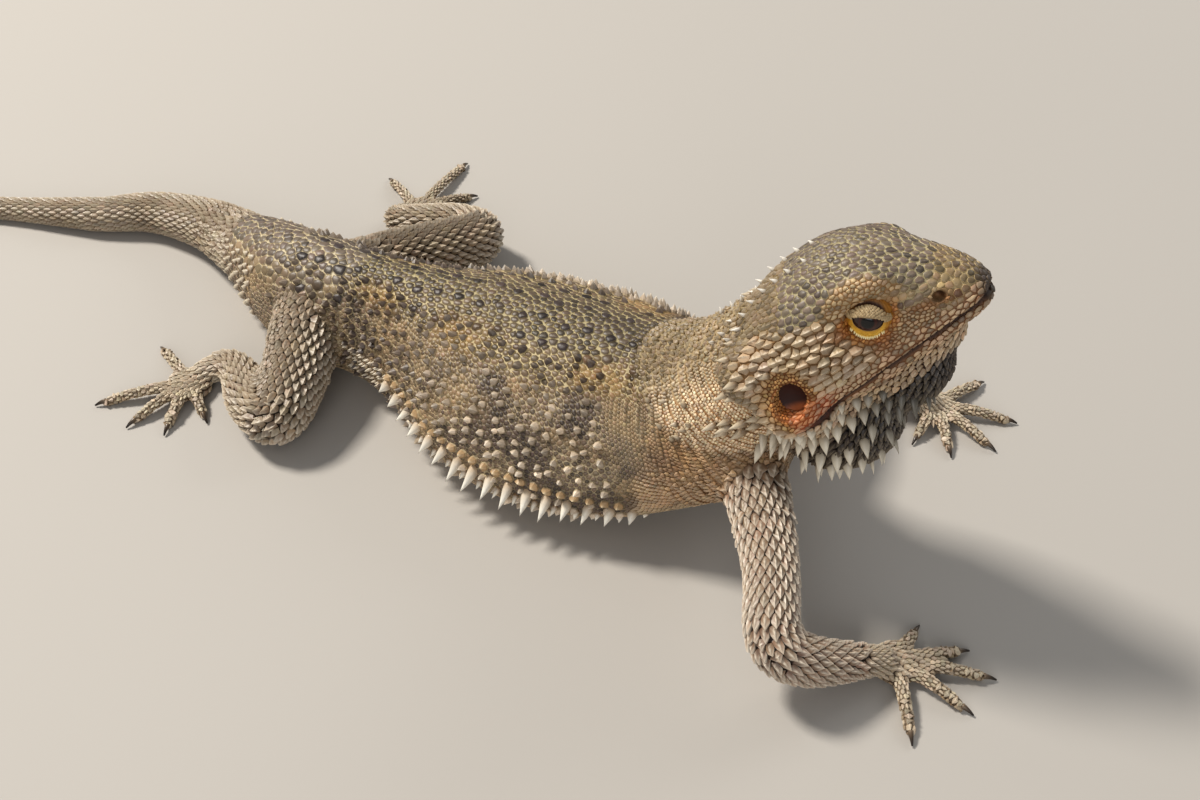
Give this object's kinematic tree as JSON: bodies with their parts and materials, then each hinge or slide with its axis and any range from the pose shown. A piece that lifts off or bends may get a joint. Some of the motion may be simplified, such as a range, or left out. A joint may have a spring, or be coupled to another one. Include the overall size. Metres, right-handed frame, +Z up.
{
  "type": "bearded dragon",
  "caption": "Adult bearded dragon, life size and still, resting on its belly with chest and head raised, legs spread and tail laid along the floor",
  "frame": {"origin": "on the floor under the middle of the belly, on the belly's flat", "axes": "+X along the trunk towards the head, +Y the animal's left, +Z up"},
  "size_m": [0.5311, 0.1682, 0.1062],
  "materials": {
    "skin": "dry scaled skin, matt, sandy grey-brown",
    "beard": "dry spiny skin, charcoal with cream spines",
    "eye": "wet, glossy, dark brown",
    "eardrum": "thin satin membrane, dark red-brown",
    "claw": "satin horn, near black"
  },
  "bodies": {
    "root": {"beard": "beard", "claw_foot_left_1": "claw", "claw_foot_left_2": "claw", "claw_foot_left_3": "claw", "claw_foot_left_4": "claw", "claw_foot_left_5": "claw", "claw_foot_right_1": "claw", "claw_foot_right_2": "claw", "claw_foot_right_3": "claw", "claw_foot_right_4": "claw", "claw_foot_right_5": "claw", "claw_hand_left_1": "claw", "claw_hand_left_2": "claw", "claw_hand_left_3": "claw", "claw_hand_left_4": "claw", "claw_hand_left_5": "claw", "claw_hand_right_1": "claw", "claw_hand_right_2": "claw", "claw_hand_right_3": "claw", "claw_hand_right_4": "claw", "claw_hand_right_5": "claw", "eardrum_left": "eardrum", "eardrum_right": "eardrum", "eye_left": "eye", "eye_right": "eye", "foot_left": "skin", "foot_right": "skin", "forearm_left": "skin", "forearm_right": "skin", "hand_left": "skin", "hand_right": "skin", "head": "skin", "lower_jaw": "skin", "neck": "skin", "shank_left": "skin", "shank_right": "skin", "tail_front": "skin", "tail_middle": "skin", "tail_root": "skin", "tail_tip": "skin", "thigh_left": "skin", "thigh_right": "skin", "trunk": "skin", "upper_arm_left": "skin", "upper_arm_right": "skin"}
  },
  "joints": []
}
